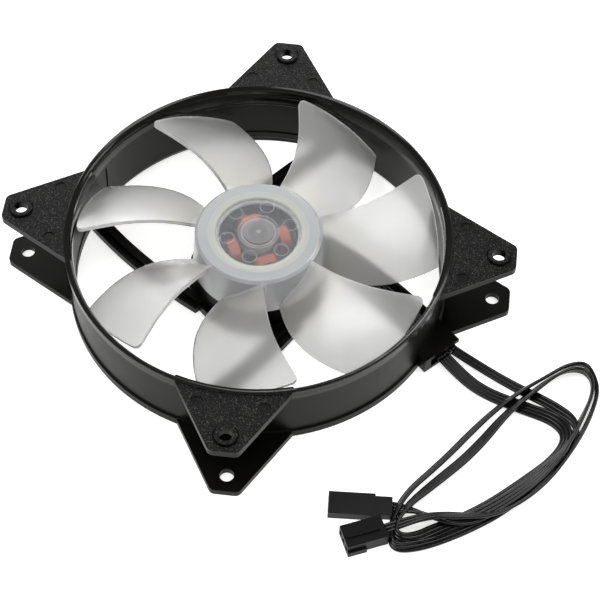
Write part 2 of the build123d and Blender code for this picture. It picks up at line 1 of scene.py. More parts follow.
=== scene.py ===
import bpy
import json
import numpy as np
from math import cos, radians, sin
from mathutils import Matrix, Vector


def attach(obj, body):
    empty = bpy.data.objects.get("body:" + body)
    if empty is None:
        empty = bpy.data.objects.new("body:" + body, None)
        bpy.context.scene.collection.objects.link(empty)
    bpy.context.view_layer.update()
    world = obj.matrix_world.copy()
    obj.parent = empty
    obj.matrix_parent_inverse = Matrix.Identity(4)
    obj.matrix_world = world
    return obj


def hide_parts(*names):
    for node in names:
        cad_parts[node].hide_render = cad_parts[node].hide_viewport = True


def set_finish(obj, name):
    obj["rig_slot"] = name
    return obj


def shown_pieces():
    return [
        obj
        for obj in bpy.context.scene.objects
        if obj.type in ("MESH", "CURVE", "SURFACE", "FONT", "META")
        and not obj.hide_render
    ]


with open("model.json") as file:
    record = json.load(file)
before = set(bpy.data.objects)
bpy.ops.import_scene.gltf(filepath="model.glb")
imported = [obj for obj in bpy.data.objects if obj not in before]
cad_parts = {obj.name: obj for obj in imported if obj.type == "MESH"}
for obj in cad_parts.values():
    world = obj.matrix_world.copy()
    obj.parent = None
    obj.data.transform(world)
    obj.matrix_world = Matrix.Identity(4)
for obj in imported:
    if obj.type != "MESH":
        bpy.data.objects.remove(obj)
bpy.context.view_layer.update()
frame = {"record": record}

mm = 0.001

cameraSetup = {
    "place": (0.29138, -0.22375, 0.49896),
    "azimuth": 50.40,
    "elevation": 54.25,
    "roll": 1.45,
    "lens": 116.7,
    "sensorWidth": 36,
    "clip": (0.01, 20),
}


# The camera looks along minus back; right and up are turned about it by the roll.
def makeCamera(setup):
    azimuth, elevation, roll = (radians(setup[key]) for key in ("azimuth", "elevation", "roll"))
    back = Vector((sin(azimuth) * cos(elevation), -cos(azimuth) * cos(elevation), sin(elevation)))
    right = Vector((cos(azimuth), sin(azimuth), 0))
    up = back.cross(right)
    turnedRight = right * cos(roll) + up * sin(roll)
    turnedUp = up * cos(roll) - right * sin(roll)
    data = bpy.data.cameras.new("camera")
    data.lens = setup["lens"]
    data.sensor_width = setup["sensorWidth"]
    data.clip_start, data.clip_end = setup["clip"]
    camera = bpy.data.objects.new("camera", data)
    bpy.context.scene.collection.objects.link(camera)
    axes = Matrix((turnedRight, turnedUp, back)).transposed()
    camera.matrix_world = Matrix.Translation(setup["place"]) @ axes.to_4x4()
    bpy.context.scene.camera = camera


makeCamera(cameraSetup)
print("camera made")


# An object at the origin from an array of points and a list of faces.
def makePiece(name, points, faces, body, slot):
    mesh = bpy.data.meshes.new(name)
    mesh.from_pydata(points.tolist(), [], [list(face) for face in faces])
    mesh.polygons.foreach_set("use_smooth", np.full(len(mesh.polygons), True))
    mesh.update()
    piece = bpy.data.objects.new(name, mesh)
    bpy.context.scene.collection.objects.link(piece)
    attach(piece, body)
    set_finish(piece, slot)
    return piece


# Quads between rings of points laid one after another, with a face on each end ring.
def tubeFaces(rings, around):
    i, j = np.meshgrid(np.arange(rings - 1), np.arange(around), indexing="ij")
    k = (j + 1) % around
    near, far = i * around, (i + 1) * around
    quads = np.stack([near + j, near + k, far + k, far + j], axis=-1)
    faces = quads.reshape(-1, 4).tolist()
    faces.append(list(range(around))[::-1])
    faces.append([(rings - 1) * around + n for n in range(around)])
    return faces


# Each ribbon is a row of round insulated wires moulded side by side.
ribbons = {
    "floorGap": 0.02 * mm,  # least height over the floor
    "pitch": 1.12 * mm,  # one wire to the next
    "web": 0.17 * mm,  # half thickness of the film between two wires
    "samplesPerWire": 9,
    "step": 0.7 * mm,  # one ring of points to the next
    "splineSteps": 64,
    "fanWires": 3,
    "fanLength": 0.303,
    "lightWires": 4,
    "lightLength": 0.277,
}
# Route points: x, y, z in metres and the ribbon's roll in degrees, 0 lying flat and 90 standing on edge.
fanRoute = [
    (0.0600, 0.0298, 0.0024, 0),
    (0.0690, 0.0328, 0.0009, 0),
    (0.0815, 0.0366, 0.0006, 5),
    (0.0925, 0.0406, 0.0010, 25),
    (0.1035, 0.0425, 0.0017, 80),
    (0.1090, 0.0340, 0.0017, 85),
    (0.1108, 0.0215, 0.0010, 35),
    (0.1110, 0.0050, 0.0006, 5),
    (0.1095, -0.0060, 0.0006, 0),
    (0.1070, -0.0165, 0.0006, 0),
    (0.1044, -0.0235, 0.0009, -20),
    (0.1012, -0.0290, 0.0018, -70),
    (0.0972, -0.0272, 0.0018, -80),
    (0.0922, -0.0210, 0.0018, -65),
    (0.0893, -0.0130, 0.0017, -54),
    (0.0884, -0.0040, 0.0017, -50),
    (0.0872, 0.0050, 0.0017, -50),
    (0.0856, 0.0140, 0.0018, -50),
    (0.0846, 0.0230, 0.0026, -54),
    (0.0844, 0.0300, 0.0031, -58),
    (0.0844, 0.0370, 0.0031, -62),
    (0.0848, 0.0450, 0.0022, -66),
    (0.0853, 0.0540, 0.0018, -66),
    (0.0886, 0.0593, 0.0018, -70),
    (0.0939, 0.0578, 0.0018, -80),
    (0.0988, 0.0545, 0.0018, -92),
    (0.1030, 0.0478, 0.0018, -102),
    (0.1068, 0.0398, 0.0022, -110),
    (0.1102, 0.0300, 0.0025, -112),
    (0.1124, 0.0200, 0.0018, -112),
    (0.1127, 0.0100, 0.0018, -116),
    (0.1112, 0.0004, 0.0028, -130),
    (0.1072, -0.0062, 0.0040, -140),
    (0.1036, -0.0116, 0.0053, -148),
    (0.1004, -0.0166, 0.0053, -150),
    (0.0976, -0.0218, 0.0040, -165),
    (0.0951, -0.0275, 0.0023, -180),
]
lightRoute = [
    (0.0600, 0.0258, 0.0022, 0),
    (0.0690, 0.0261, 0.0009, 0),
    (0.0775, 0.0280, 0.0006, 0),
    (0.0880, 0.0332, 0.0006, 5),
    (0.0975, 0.0383, 0.0009, 15),
    (0.1045, 0.0373, 0.0017, 45),
    (0.1078, 0.0290, 0.0016, 40),
    (0.1082, 0.0170, 0.0011, 18),
    (0.1078, 0.0030, 0.0010, 13),
    (0.1059, -0.0085, 0.0010, 12),
    (0.1040, -0.0160, 0.0010, -8),
    (0.1033, -0.0212, 0.0014, -30),
    (0.1010, -0.0256, 0.0021, -58),
    (0.0976, -0.0262, 0.0023, -76),
    (0.0950, -0.0225, 0.0023, -72),
    (0.0932, -0.0165, 0.0022, -56),
    (0.0926, -0.0105, 0.0020, -44),
    (0.0920, -0.0020, 0.0018, -38),
    (0.0914, 0.0070, 0.0018, -38),
    (0.0899, 0.0160, 0.0020, -42),
    (0.0882, 0.0240, 0.0029, -50),
    (0.0873, 0.0310, 0.0034, -56),
    (0.0869, 0.0385, 0.0032, -60),
    (0.0863, 0.0460, 0.0025, -64),
    (0.0869, 0.0525, 0.0023, -66),
    (0.0899, 0.0566, 0.0023, -72),
    (0.0943, 0.0564, 0.0023, -80),
    (0.0983, 0.0526, 0.0023, -92),
    (0.1017, 0.0460, 0.0023, -102),
    (0.1055, 0.0375, 0.0025, -112),
    (0.1086, 0.0290, 0.0031, -124),
    (0.1102, 0.0170, 0.0024, -158),
    (0.1094, 0.0030, 0.0021, -176),
    (0.1078, -0.0060, 0.0021, -172),
    (0.1042, -0.0110, 0.0024, -148),
    (0.0995, -0.0146, 0.0024, -125),
    (0.0945, -0.0173, 0.0023, -130),
    (0.0908, -0.0208, 0.0013, -180),
]
# The wires inside the frame, from the circuit board along the channel.
fanLeadRoute = [
    (0.0600, 0.0298, 0.0024, 0),
    (0.0480, 0.0294, 0.0021, 0),
    (0.0300, 0.0286, 0.0021, 0),
    (0.0180, 0.0270, 0.0021, 0),
    (0.0105, 0.0255, 0.0023, 0),
]
lightLeadRoute = [
    (0.0600, 0.0258, 0.0022, 0),
    (0.0480, 0.0254, 0.0021, 0),
    (0.0300, 0.0246, 0.0021, 0),
    (0.0180, 0.0232, 0.0021, 0),
    (0.0105, 0.0216, 0.0023, 0),
]


# The points of the smooth NURBS spline whose control points are the route's points.
def splinePoints(places):
    data = bpy.data.curves.new("route", "CURVE")
    data.dimensions = "3D"
    data.resolution_u = ribbons["splineSteps"]
    spline = data.splines.new("NURBS")
    spline.points.add(len(places) - 1)
    spline.points.foreach_set("co", np.array([(*place, 1) for place in places], np.float32).ravel())
    spline.order_u = 3
    spline.use_endpoint_u = True
    holder = bpy.data.objects.new("route", data)
    mesh = bpy.data.meshes.new_from_object(holder)
    line = np.empty(len(mesh.vertices) * 3, np.float32)
    mesh.vertices.foreach_get("co", line)
    bpy.data.meshes.remove(mesh)
    bpy.data.objects.remove(holder)
    bpy.data.curves.remove(data)
    return line.reshape(-1, 3).astype(float)


# Closed outline across a ribbon: half thickness = sqrt(r^2 - a^2) over each wire, never under the web.
def ribbonOutline(wires):
    radius = ribbons["pitch"] / 2
    turn = np.linspace(0, np.pi, ribbons["samplesPerWire"] + 1)[:-1]
    centres = (np.arange(wires) - (wires - 1) / 2) * ribbons["pitch"]
    across = (centres[:, None] - radius * np.cos(turn)[None, :]).ravel()
    thick = np.maximum(np.tile(radius * np.sin(turn), wires), ribbons["web"])
    thick[0] = 0
    lower = np.stack([across, -thick], axis=1)
    upper = np.stack([-across, thick], axis=1)
    return np.concatenate([lower, upper])


# The outline carried along the route: point = line + side * a + up * b, turned about the line by the roll.
def makeRibbon(name, route, wires, replaced):
    places = splinePoints([point[:3] for point in route])
    rolls = splinePoints([(point[3], index, 0) for index, point in enumerate(route)])[:, 0]
    along = np.concatenate([[0], np.cumsum(np.linalg.norm(np.diff(places, axis=0), axis=1))])
    at = np.linspace(0, along[-1], int(along[-1] / ribbons["step"]) + 1)
    line = np.stack([np.interp(at, along, places[:, axis]) for axis in range(3)], axis=1)
    roll = np.radians(np.interp(at, along, rolls))[:, None]
    ahead = np.gradient(line, axis=0)
    ahead /= np.linalg.norm(ahead, axis=1)[:, None]
    side = np.cross(np.array([0, 0, 1.0]), ahead)
    side /= np.linalg.norm(side, axis=1)[:, None]
    up = np.cross(ahead, side)
    turnedSide = side * np.cos(roll) + up * np.sin(roll)
    turnedUp = up * np.cos(roll) - side * np.sin(roll)
    outline = ribbonOutline(wires)
    points = (
        line[:, None, :]
        + turnedSide[:, None, :] * outline[None, :, 0, None]
        + turnedUp[:, None, :] * outline[None, :, 1, None]
    )
    # a ring that would dip into the floor is lifted clear of it
    lift = np.maximum(ribbons["floorGap"] - points[:, :, 2].min(axis=1), 0)
    points[:, :, 2] += lift[:, None]
    line[:, 2] += lift
    faces = tubeFaces(len(line), len(outline))
    piece = makePiece(name, points.reshape(-1, 3), faces, "fan_frame", "wire_pvc")
    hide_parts(replaced)
    return piece, line, along[-1]


fanRibbon, fanLine, fanRun = makeRibbon("fan_ribbon", fanRoute, ribbons["fanWires"], "fan_cable")
lightRibbon, lightLine, lightRun = makeRibbon(
    "light_ribbon", lightRoute, ribbons["lightWires"], "light_cable"
)
makeRibbon("fan_lead_ribbon", fanLeadRoute, ribbons["fanWires"], "fan_leads")
makeRibbon("light_lead_ribbon", lightLeadRoute, ribbons["lightWires"], "light_leads")
print("ribbons made:", round(fanRun, 4), round(lightRun, 4))

coils = {
    "count": 4,
    "firstAngle": 70.0,
    "inner": 6.6 * mm,
    "outer": 9.85 * mm,
    "middleHeight": 16.2 * mm,
    "halfWidth": 3.7 * mm,
    "halfHeight": 4.25 * mm,
    "cornerPower": 4.0,
    "wire": 0.34 * mm,
    "turns": 9,
    "samplesPerTurn": 8,
    "around": 72,
    "endCut": 1.6 * mm,  # how far the end rings draw in to close the winding
    "lean": 0.04 * mm,  # how unevenly the wires lie
    "leanWaves": 3,
}


# A winding round a pole arm: superellipse |a|^n + |b|^n = 1 round it, its wires as arcs along the arm.
def makeCoil(number):
    angle = radians(coils["firstAngle"] + 360 / coils["count"] * number)
    around = np.linspace(0, 2 * np.pi, coils["around"], endpoint=False)
    power = 2 / coils["cornerPower"]
    width = np.sign(np.cos(around)) * np.abs(np.cos(around)) ** power
    height = np.sign(np.sin(around)) * np.abs(np.sin(around)) ** power
    phase = np.linspace(0, coils["turns"], coils["turns"] * coils["samplesPerTurn"] + 1)
    bulge = np.abs(np.sin(np.pi * phase)) * coils["wire"] / 2
    bulge[[0, -1]] = -coils["endCut"]
    out = coils["inner"] + (coils["outer"] - coils["inner"]) * phase / coils["turns"]
    lean = coils["lean"] * np.sin(coils["leanWaves"] * around)
    acrossArm = width[None, :] * (coils["halfWidth"] + bulge[:, None] - coils["wire"] / 2)
    upward = height[None, :] * (coils["halfHeight"] + bulge[:, None] - coils["wire"] / 2)
    alongArm = out[:, None] + lean[None, :] * np.minimum(phase, coils["turns"] - phase)[:, None]
    x = alongArm * cos(angle) - acrossArm * sin(angle)
    y = alongArm * sin(angle) + acrossArm * cos(angle)
    points = np.stack([x, y, coils["middleHeight"] + upward], axis=-1).reshape(-1, 3)
    faces = tubeFaces(len(phase), len(around))
    piece = makePiece(f"coil_winding_{number + 1}", points, faces, "fan_frame", "copper_wire")
    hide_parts(f"coil_{number + 1}")


for number in range(coils["count"]):
    makeCoil(number)
print("coils made")


# sRGB hex to linear colour.
def linear(hexColour):
    values = [int(hexColour[i : i + 2], 16) / 255 for i in (1, 3, 5)]
    return tuple(v / 12.92 if v <= 0.04045 else ((v + 0.055) / 1.055) ** 2.4 for v in values) + (1.0,)


# Adds a node with its settings; an input is a value or another node's output. Gives back one of its outputs.
def addNode(tree, kind, inputs, out=0, **settings):
    node = tree.nodes.new(kind)
    for key, value in settings.items():
        setattr(node, key, value)
    for key, value in inputs.items():
        if isinstance(value, bpy.types.NodeSocket):
            tree.links.new(value, node.inputs[key])
        else:
            node.inputs[key].default_value = value
    return node.outputs[out] if node.outputs else None


# An empty material and the place on its piece in millimetres, read from Object coordinates.
def startMaterial(name):
    material = bpy.data.materials.new(name)
    material.use_nodes = True
    tree = material.node_tree
    tree.nodes.clear()
    place = addNode(tree, "ShaderNodeTexCoord", {}, "Object")
    return material, tree, addNode(tree, "ShaderNodeMapping", {"Vector": place, "Scale": (1000, 1000, 1000)})


# Distance from the shaft's axis = sqrt(x^2 + y^2), and height z, both in millimetres.
def fromShaft(tree, place):
    flat = addNode(tree, "ShaderNodeVectorMath", {0: place, 1: (1, 1, 0)}, operation="MULTIPLY")
    radius = addNode(tree, "ShaderNodeVectorMath", {0: flat}, "Value", operation="LENGTH")
    return radius, addNode(tree, "ShaderNodeSeparateXYZ", {0: place}, "Z")


pbt = {
    "earGrit": 0.42,  # mm; the real grit is about 0.15, drawn coarser so that it shows
    "speckSize": 0.36,  # mm, likewise; the size of the pale specks painted in as glints
    "waveSize": 8.0,  # mm
    "black": "#080706",
    "blackFaded": "#0f0e0c",
    "speckDark": "#090909",
    # pale colour of the specks painted on the ears as glints
    "paintedGlintPale": "#5c5c5a",
    "hoopRadius": 60.0,  # mm; the ears lie outside it
    "inletHeight": 19.9,  # mm; the polished inlet is above it
    "satinRough": (0.30, 0.42),
    "inletRough": 0.14,
    "inletCoat": 0.45,
    "earRough": 0.52,
    "grainDepth": 0.12 * mm,
    "plainGrain": 0.05,  # share of the ears' grain that the other faces have
}


# Black glass-filled PBT, injection moulded in a steel tool. The front ears carry the tool's spark-eroded
# grain, with small pale specks painted in as glints (painted highlights); the inlet is polished and mirrors
# the lights; the rest is satin.
def framePlastic():
    material, tree, place = startMaterial("black_pbt_moulded")
    radius, height = fromShaft(tree, place)
    hoop, lip = pbt["hoopRadius"], pbt["inletHeight"]
    outsideInputs = {"Value": radius, "From Min": hoop - 0.4, "From Max": hoop}
    outside = addNode(tree, "ShaderNodeMapRange", outsideInputs)
    onTop = addNode(tree, "ShaderNodeMapRange", {"Value": height, "From Min": 23.9, "From Max": 24.2})
    earTop = addNode(tree, "ShaderNodeMath", {0: outside, 1: onTop}, operation="MULTIPLY")
    insideInputs = {"Value": radius, "From Min": hoop + 0.1, "From Max": hoop - 0.1}
    inside = addNode(tree, "ShaderNodeMapRange", insideInputs)
    nearFrontInputs = {"Value": height, "From Min": lip - 0.7, "From Max": lip + 0.7}
    nearFront = addNode(tree, "ShaderNodeMapRange", nearFrontInputs)
    inlet = addNode(tree, "ShaderNodeMath", {0: inside, 1: nearFront}, operation="MULTIPLY")
    grainInputs = {"Vector": place, "Scale": 1 / pbt["earGrit"], "Detail": 3.0, "Roughness": 0.65}
    grain = addNode(tree, "ShaderNodeTexNoise", grainInputs)
    speckInputs = {"Vector": place, "Scale": 1 / pbt["speckSize"], "Detail": 2.0, "Roughness": 0.7}
    speckNoise = addNode(tree, "ShaderNodeTexNoise", speckInputs)
    # painted highlight: pale specks in the ears' colour stand in for the glints of the grain
    paintedGlintSpecks = addNode(tree, "ShaderNodeMapRange", {"Value": speckNoise, "From Min": 0.55, "From Max": 0.72})
    waveInputs = {"Vector": place, "Scale": 1 / pbt["waveSize"], "Detail": 2.0}
    wave = addNode(tree, "ShaderNodeTexNoise", waveInputs)
    plainInputs = {0: wave, 6: linear(pbt["black"]), 7: linear(pbt["blackFaded"])}
    plainColour = addNode(tree, "ShaderNodeMix", plainInputs, 2, data_type="RGBA")
    grainedInputs = {0: paintedGlintSpecks, 6: linear(pbt["speckDark"]), 7: linear(pbt["paintedGlintPale"])}
    grainWithPaintedGlints = addNode(tree, "ShaderNodeMix", grainedInputs, 2, data_type="RGBA")
    colour = addNode(tree, "ShaderNodeMix", {0: earTop, 6: plainColour, 7: grainWithPaintedGlints}, 2, data_type="RGBA")
    satin = addNode(tree, "ShaderNodeMix", {0: wave, 2: pbt["satinRough"][0], 3: pbt["satinRough"][1]})
    polished = addNode(tree, "ShaderNodeMix", {0: inlet, 2: satin, 3: pbt["inletRough"]})
    rough = addNode(tree, "ShaderNodeMix", {0: earTop, 2: polished, 3: pbt["earRough"]})
    depth = addNode(tree, "ShaderNodeMix", {0: earTop, 2: pbt["plainGrain"], 3: 1.0})
    relief = addNode(tree, "ShaderNodeMath", {0: grain, 1: depth}, operation="MULTIPLY")
    bumpInputs = {"Height": relief, "Distance": pbt["grainDepth"], "Strength": 0.9}
    normal = addNode(tree, "ShaderNodeBump", bumpInputs)
    gloss = addNode(tree, "ShaderNodeMath", {0: inlet, 1: pbt["inletCoat"]}, operation="MULTIPLY")
    sockets = {
        "Base Color": colour,
        "Roughness": rough,
        "IOR": 1.32,
        "Specular IOR Level": 0.26,
        "Coat Weight": gloss,
        "Coat Roughness": 0.10,
        "Normal": normal,
    }
    shader = addNode(tree, "ShaderNodeBsdfPrincipled", sockets)
    addNode(tree, "ShaderNodeOutputMaterial", {"Surface": shader})
    return material


milk = {
    "cloudSize": 20.0,  # mm
    "etch": 0.40,  # mm; the real etch is about 0.1, drawn coarser so that it shows
    "rootTint": "#ece9e1",
    "tipTint": "#e0e0df",
    "windowTint": "#f9fbff",
    "cupTint": "#e6e8e1",  # over the steel cup
    "rimTint": "#e6e9eb",  # outside it
    # colour of the painted highlights on the hub's rings, marks and the blades' edges, and of their painted
    # glow
    "paintedHighlightTint": "#ffffff",
    "paintedGlowTint": "#f4f6fa",
    "windowRadius": 12.9,  # the clear part of the hub's face ends over the steel cup
    "ringLines": (5.2, 6.4, 15.6, 18.75),  # mouldings in the hub's face, drawn as painted highlight rings
    "markAt": 10.0,  # six round ejector marks
    "markRadius": 2.2,
    "markTurn": 6.5,
    "lineHalfWidth": 0.13,
    # how strong the painted highlight lines and their painted glow are
    "paintedHighlightStrength": 0.4,
    "paintedGlowStrength": 0.07,
    "windowEdge": 0.8,  # mm over which the window fades into the ring
    "spotRadius": 0.7,  # mm; the gate mark at the middle, drawn as a painted highlight spot
    "bladeFrom": (19.6, 21.5),  # mm from the axis; the hub ends and the blades begin
    "bladeSpan": (24.0, 56.0),  # mm; the tint goes from root to tip
    "cupEdge": (15.2, 15.8),  # mm; the steel cup ends
    # how much light goes straight through
    "cupClear": 0.42,
    "rimClear": 0.50,
    "windowClear": 0.91,
    "centreClear": 0.76,
    "bladeClear": 0.74,
    "paintedHighlightClear": 0.45,
    "hubRough": 0.20,
    "bladeRough": 0.26,
    "etchDepth": 0.03 * mm,
}


# Milky polycarbonate with a light diffuser, injection moulded in an etched tool: light passes and scatters,
# so blades glow softly and the hub shows the motor as a blur; bright edges and rings are painted highlights
# with a faint painted glow.
def milkyPlastic():
    material, tree, place = startMaterial("milky_polycarbonate")
    radius, height = fromShaft(tree, place)
    start, end = milk["bladeFrom"]
    blade = addNode(tree, "ShaderNodeMapRange", {"Value": radius, "From Min": start, "From Max": end})
    hubFace = addNode(tree, "ShaderNodeMapRange", {"Value": height, "From Min": 23.9, "From Max": 24.1})
    cloudInputs = {"Vector": place, "Scale": 1 / milk["cloudSize"], "Detail": 2.0}
    cloud = addNode(tree, "ShaderNodeTexNoise", cloudInputs)
    start, end = milk["bladeSpan"]
    outward = addNode(tree, "ShaderNodeMapRange", {"Value": radius, "From Min": start, "From Max": end})
    tipward = addNode(tree, "ShaderNodeMath", {0: outward, 1: cloud}, operation="ADD")
    tintInputs = {0: tipward, 6: linear(milk["rootTint"]), 7: linear(milk["tipTint"])}
    bladeTint = addNode(tree, "ShaderNodeMix", tintInputs, 2, data_type="RGBA", clamp_factor=True)
    start, end = milk["windowRadius"] + milk["windowEdge"], milk["windowRadius"]
    window = addNode(tree, "ShaderNodeMapRange", {"Value": radius, "From Min": start, "From Max": end})
    start, end = milk["cupEdge"]
    pastCup = addNode(tree, "ShaderNodeMapRange", {"Value": radius, "From Min": start, "From Max": end})
    tintInputs = {0: pastCup, 6: linear(milk["cupTint"]), 7: linear(milk["rimTint"])}
    ringTint = addNode(tree, "ShaderNodeMix", tintInputs, 2, data_type="RGBA")
    hubTint = addNode(tree, "ShaderNodeMix", {0: blade, 6: ringTint, 7: bladeTint}, 2, data_type="RGBA")
    tintInputs = {0: window, 6: hubTint, 7: linear(milk["windowTint"])}
    tint = addNode(tree, "ShaderNodeMix", tintInputs, 2, data_type="RGBA")
    # painted highlight: round lines and a middle spot, 1 where the distance from the axis is a line's radius
    spot = {0: radius, 1: 0.0, 2: milk["spotRadius"]}
    paintedHighlightLines = addNode(tree, "ShaderNodeMath", spot, operation="COMPARE")
    for lineRadius in milk["ringLines"]:
        one = {0: radius, 1: lineRadius, 2: milk["lineHalfWidth"]}
        ring = addNode(tree, "ShaderNodeMath", one, operation="COMPARE")
        paintedHighlightLines = addNode(tree, "ShaderNodeMath", {0: paintedHighlightLines, 1: ring}, operation="MAXIMUM")
    # ejector marks, outlined with painted highlight: the angle is folded into one sixth, then distance^2 =
    # r^2 + at^2 - 2 r at cos(angle)
    x = addNode(tree, "ShaderNodeSeparateXYZ", {0: place}, "X")
    y = addNode(tree, "ShaderNodeSeparateXYZ", {0: place}, "Y")
    angle = addNode(tree, "ShaderNodeMath", {0: y, 1: x}, operation="ARCTAN2")
    turn = radians(milk["markTurn"])
    turned = addNode(tree, "ShaderNodeMath", {0: angle, 1: turn}, operation="SUBTRACT")
    half = radians(30)
    folded = addNode(tree, "ShaderNodeMath", {0: turned, 1: half, 2: -half}, operation="WRAP")
    cosine = addNode(tree, "ShaderNodeMath", {0: folded}, operation="COSINE")
    reach = addNode(tree, "ShaderNodeMath", {0: cosine, 1: radius}, operation="MULTIPLY")
    cross = addNode(tree, "ShaderNodeMath", {0: reach, 1: -2 * milk["markAt"]}, operation="MULTIPLY")
    squaredInputs = {0: radius, 1: radius, 2: milk["markAt"] ** 2}
    squared = addNode(tree, "ShaderNodeMath", squaredInputs, operation="MULTIPLY_ADD")
    away2 = addNode(tree, "ShaderNodeMath", {0: squared, 1: cross}, operation="ADD")
    away = addNode(tree, "ShaderNodeMath", {0: away2}, operation="SQRT")
    one = {0: away, 1: milk["markRadius"], 2: milk["lineHalfWidth"]}
    mark = addNode(tree, "ShaderNodeMath", one, operation="COMPARE")
    paintedHighlightLines = addNode(tree, "ShaderNodeMath", {0: paintedHighlightLines, 1: mark}, operation="MAXIMUM")
    paintedHighlightLines = addNode(tree, "ShaderNodeMath", {0: paintedHighlightLines, 1: hubFace}, operation="MULTIPLY")
    offBlade = addNode(tree, "ShaderNodeMapRange", {"Value": radius, "From Min": 19.3, "From Max": 19.1})
    paintedHighlightLines = addNode(tree, "ShaderNodeMath", {0: paintedHighlightLines, 1: offBlade}, operation="MULTIPLY")
    paintedHighlightLines = addNode(tree, "ShaderNodeMath", {0: paintedHighlightLines, 1: milk["paintedHighlightStrength"]}, operation="MULTIPLY")
    # thin edges pipe the light, drawn as painted highlight and painted glow; an edge is a face that stands
    # nearly upright
    normalWay = addNode(tree, "ShaderNodeTexCoord", {}, "Normal")
    normalUp = addNode(tree, "ShaderNodeSeparateXYZ", {0: normalWay}, "Z")
    upright = addNode(tree, "ShaderNodeMath", {0: normalUp}, operation="ABSOLUTE")
    standing = addNode(tree, "ShaderNodeMapRange", {"Value": upright, "From Min": 0.5, "From Max": 0.3})
    paintedEdgeHighlight = addNode(tree, "ShaderNodeMath", {0: blade, 1: standing}, operation="MULTIPLY")
    paintedHighlight = addNode(tree, "ShaderNodeMath", {0: paintedEdgeHighlight, 1: paintedHighlightLines}, operation="MAXIMUM")
    tintInputs = {0: paintedHighlight, 6: tint, 7: linear(milk["paintedHighlightTint"])}
    tint = addNode(tree, "ShaderNodeMix", tintInputs, 2, data_type="RGBA")
    # how much light goes straight through: most in the window, least in the pale ring over the cup
    ringClear = addNode(tree, "ShaderNodeMix", {0: pastCup, 2: milk["cupClear"], 3: milk["rimClear"]})
    clear = addNode(tree, "ShaderNodeMix", {0: window, 2: ringClear, 3: milk["windowClear"]})
    centre = addNode(tree, "ShaderNodeMapRange", {"Value": radius, "From Min": 6.6, "From Max": 5.6})
    clear = addNode(tree, "ShaderNodeMix", {0: centre, 2: clear, 3: milk["centreClear"]})
    clear = addNode(tree, "ShaderNodeMix", {0: blade, 2: clear, 3: milk["bladeClear"]})
    clear = addNode(tree, "ShaderNodeMix", {0: paintedHighlight, 2: clear, 3: milk["paintedHighlightClear"]})
    rough = addNode(tree, "ShaderNodeMix", {0: blade, 2: milk["hubRough"], 3: milk["bladeRough"]})
    etchInputs = {"Vector": place, "Scale": 1 / milk["etch"], "Detail": 2.0}
    etch = addNode(tree, "ShaderNodeTexNoise", etchInputs)
    bumpInputs = {"Height": etch, "Distance": milk["etchDepth"], "Strength": 0.2}
    normal = addNode(tree, "ShaderNodeBump", bumpInputs)
    # painted glow: the pale edges and lines emit a little light
    paintedGlow = addNode(tree, "ShaderNodeMath", {0: paintedHighlight, 1: milk["paintedGlowStrength"]}, operation="MULTIPLY")
    sockets = {
        "Base Color": tint,
        "Roughness": rough,
        "IOR": 1.45,
        "Transmission Weight": clear,
        "Subsurface Weight": 0.35,
        "Subsurface Radius": (1.0, 1.0, 1.0),
        "Subsurface Scale": 2.0 * mm,
        "Coat Weight": 0.35,
        "Coat Roughness": 0.15,
        "Emission Color": linear(milk["paintedGlowTint"]),
        "Emission Strength": paintedGlow,
        "Normal": normal,
    }
    shader = addNode(tree, "ShaderNodeBsdfPrincipled", sockets)
    addNode(tree, "ShaderNodeOutputMaterial", {"Surface": shader})
    return material


# A metal whose colour and roughness vary over a noise of the given size in mm, stretched along one axis.
def metal(name, light, dark, rough, size, stretch, depthMm, metallic=1.0):
    material, tree, place = startMaterial(name)
    stretched = addNode(tree, "ShaderNodeMapping", {"Vector": place, "Scale": stretch})
    streak = addNode(tree, "ShaderNodeTexNoise", {"Vector": stretched, "Scale": 1 / size, "Detail": 3.0})
    colourInputs = {0: streak, 6: linear(dark), 7: linear(light)}
    colour = addNode(tree, "ShaderNodeMix", colourInputs, 2, data_type="RGBA")
    roughness = addNode(tree, "ShaderNodeMix", {0: streak, 2: rough * 0.8, 3: rough * 1.25})
    normal = addNode(tree, "ShaderNodeBump", {"Height": streak, "Distance": depthMm * mm, "Strength": 0.4})
    sockets = {"Base Color": colour, "Metallic": metallic, "Roughness": roughness, "Normal": normal}
    shader = addNode(tree, "ShaderNodeBsdfPrincipled", sockets)
    addNode(tree, "ShaderNodeOutputMaterial", {"Surface": shader})
    return material


# A plastic, ceramic or cloth whose colour and roughness vary softly over a noise of the given size in mm.
def mottled(name, light, dark, rough, size, depthMm, **more):
    material, tree, place = startMaterial(name)
    patch = addNode(tree, "ShaderNodeTexNoise", {"Vector": place, "Scale": 1 / size, "Detail": 3.0})
    colourInputs = {0: patch, 6: linear(dark), 7: linear(light)}
    colour = addNode(tree, "ShaderNodeMix", colourInputs, 2, data_type="RGBA")
    roughness = addNode(tree, "ShaderNodeMix", {0: patch, 2: rough * 0.85, 3: rough * 1.15})
    normal = addNode(tree, "ShaderNodeBump", {"Height": patch, "Distance": depthMm * mm, "Strength": 0.5})
    sockets = {"Base Color": colour, "Roughness": roughness, "Normal": normal}
    sockets.update({key.replace("_", " "): value for key, value in more.items()})
    shader = addNode(tree, "ShaderNodeBsdfPrincipled", sockets)
    addNode(tree, "ShaderNodeOutputMaterial", {"Surface": shader})
    return material


board = {
    "cell": 2.4,  # mm; spacing of the tracks and pads
    "mask": "#1f6b34",
    "maskOverTrack": "#124a24",
    "tin": "#c9c8c0",
}


